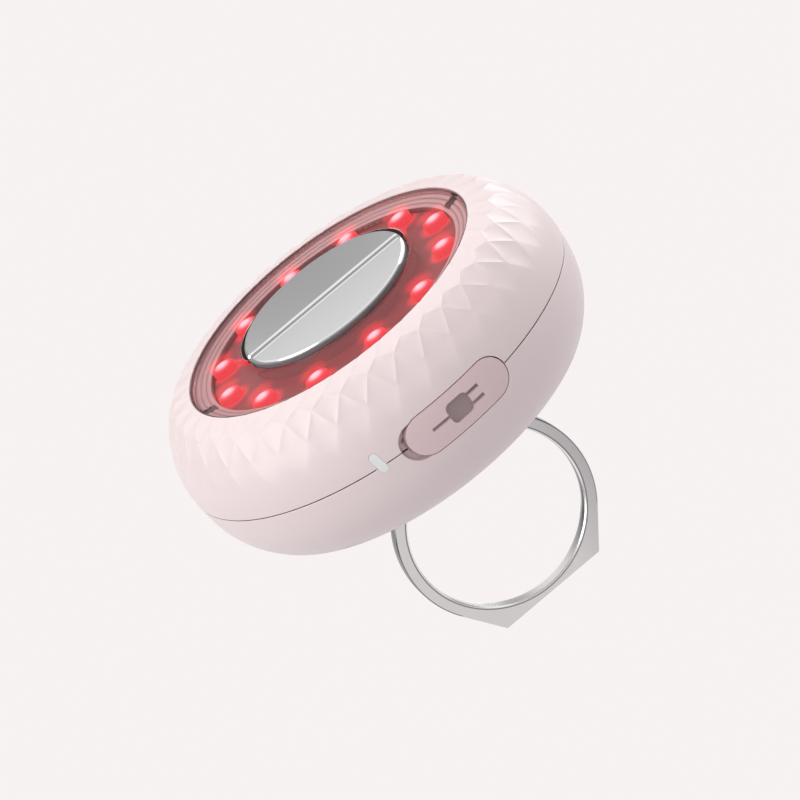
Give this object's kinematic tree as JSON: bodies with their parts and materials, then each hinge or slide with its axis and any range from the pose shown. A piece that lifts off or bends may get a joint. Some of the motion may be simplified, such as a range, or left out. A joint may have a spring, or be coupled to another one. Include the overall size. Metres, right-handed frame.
{
  "type": "red light therapy wand",
  "caption": "Palm-size round red light wand worn by a swivelling, folding finger ring, with a domed lens over diodes, a split metal treatment face, a side port cover and a button.",
  "frame": {"origin": "on the body's axis, in the parting plane of the two shells", "axes": "+Z out of the treatment face, +X along the gap between the electrodes and along the finger ring, -Y towards the charging port"},
  "size_m": [0.054, 0.0545, 0.0482],
  "materials": {
    "shell_pink": "satin",
    "button_pink": "gloss",
    "cover_pink": "matte",
    "seal_grey": "matte",
    "lens_clear": "polished",
    "bezel_rose": "metallic gloss",
    "reflector_rose": "gloss",
    "diode_red": "glowing lens",
    "board_green": "solder mask",
    "electrode_chrome": "polished",
    "ring_steel": "satin",
    "carrier_black": "matte",
    "frame_grey": "matte",
    "screw_steel": "plated",
    "contact_gold": "plated",
    "cable_amber": "film",
    "chip_black": "matte",
    "capacitor_tan": "matte",
    "plug_white": "matte",
    "battery_foil": "foil",
    "foam_grey": "matte",
    "lead_red": "gloss",
    "indicator_white": "gloss"
  },
  "bodies": {
    "body": {"upper_shell": "shell_pink", "lower_shell": "shell_pink", "cover_strap": "cover_pink", "screw_plugs": "cover_pink", "shell_seal": "seal_grey", "lens_window": "lens_clear", "bezel_ring": "bezel_rose", "reflector_plate": "reflector_rose", "red_diodes": "diode_red", "diode_board": "board_green", "main_board": "board_green", "front_electrode": "electrode_chrome", "rear_electrode": "electrode_chrome", "electrode_carrier": "carrier_black", "inner_frame": "frame_grey", "electrode_screws": "screw_steel", "frame_screws": "screw_steel", "board_screws": "screw_steel", "case_screws": "screw_steel", "wave_washer": "screw_steel", "charging_socket": "screw_steel", "contact_springs": "contact_gold", "swivel_bush": "contact_gold", "flat_cable": "cable_amber", "control_chip": "chip_black", "charging_chip": "chip_black", "boost_coil": "chip_black", "socket_tongue": "chip_black", "side_switch": "chip_black", "capacitors": "capacitor_tan", "battery_socket": "plug_white", "battery": "battery_foil", "battery_foam": "foam_grey", "battery_leads": "lead_red", "light_pipe": "indicator_white", "indicator_diode": "indicator_white"},
    "swivel": {"swivel_plate": "ring_steel", "retaining_washer": "screw_steel", "swivel_screw": "screw_steel"},
    "ring": {"finger_ring": "ring_steel", "hinge_pin": "ring_steel"},
    "cover": {"port_cover": "cover_pink"},
    "button": {"power_button": "button_pink"}
  },
  "joints": [
    {"name": "ring_swivel", "type": "hinge", "parent": "body", "child": "swivel", "pos_m": [0, 0, -0.01041], "axis": [0, 0, 1], "continuous": true},
    {"name": "ring_fold", "type": "hinge", "parent": "swivel", "child": "ring", "pos_m": [0, 0, -0.01266], "axis": [1, 0, 0], "range_deg": [-90, 90]},
    {"name": "cover_swing", "type": "hinge", "parent": "body", "child": "cover", "pos_m": [0.00929, -0.02535, 0], "axis": [0, 0, 1], "range_deg": [0, 110]},
    {"name": "button_press", "type": "slide", "parent": "body", "child": "button", "axis": [0.0793, -0.9968, 0], "range_m": [0, 0.0004], "stiffness_N_per_m": 1500, "springref_m": -0.0004}
  ]
}
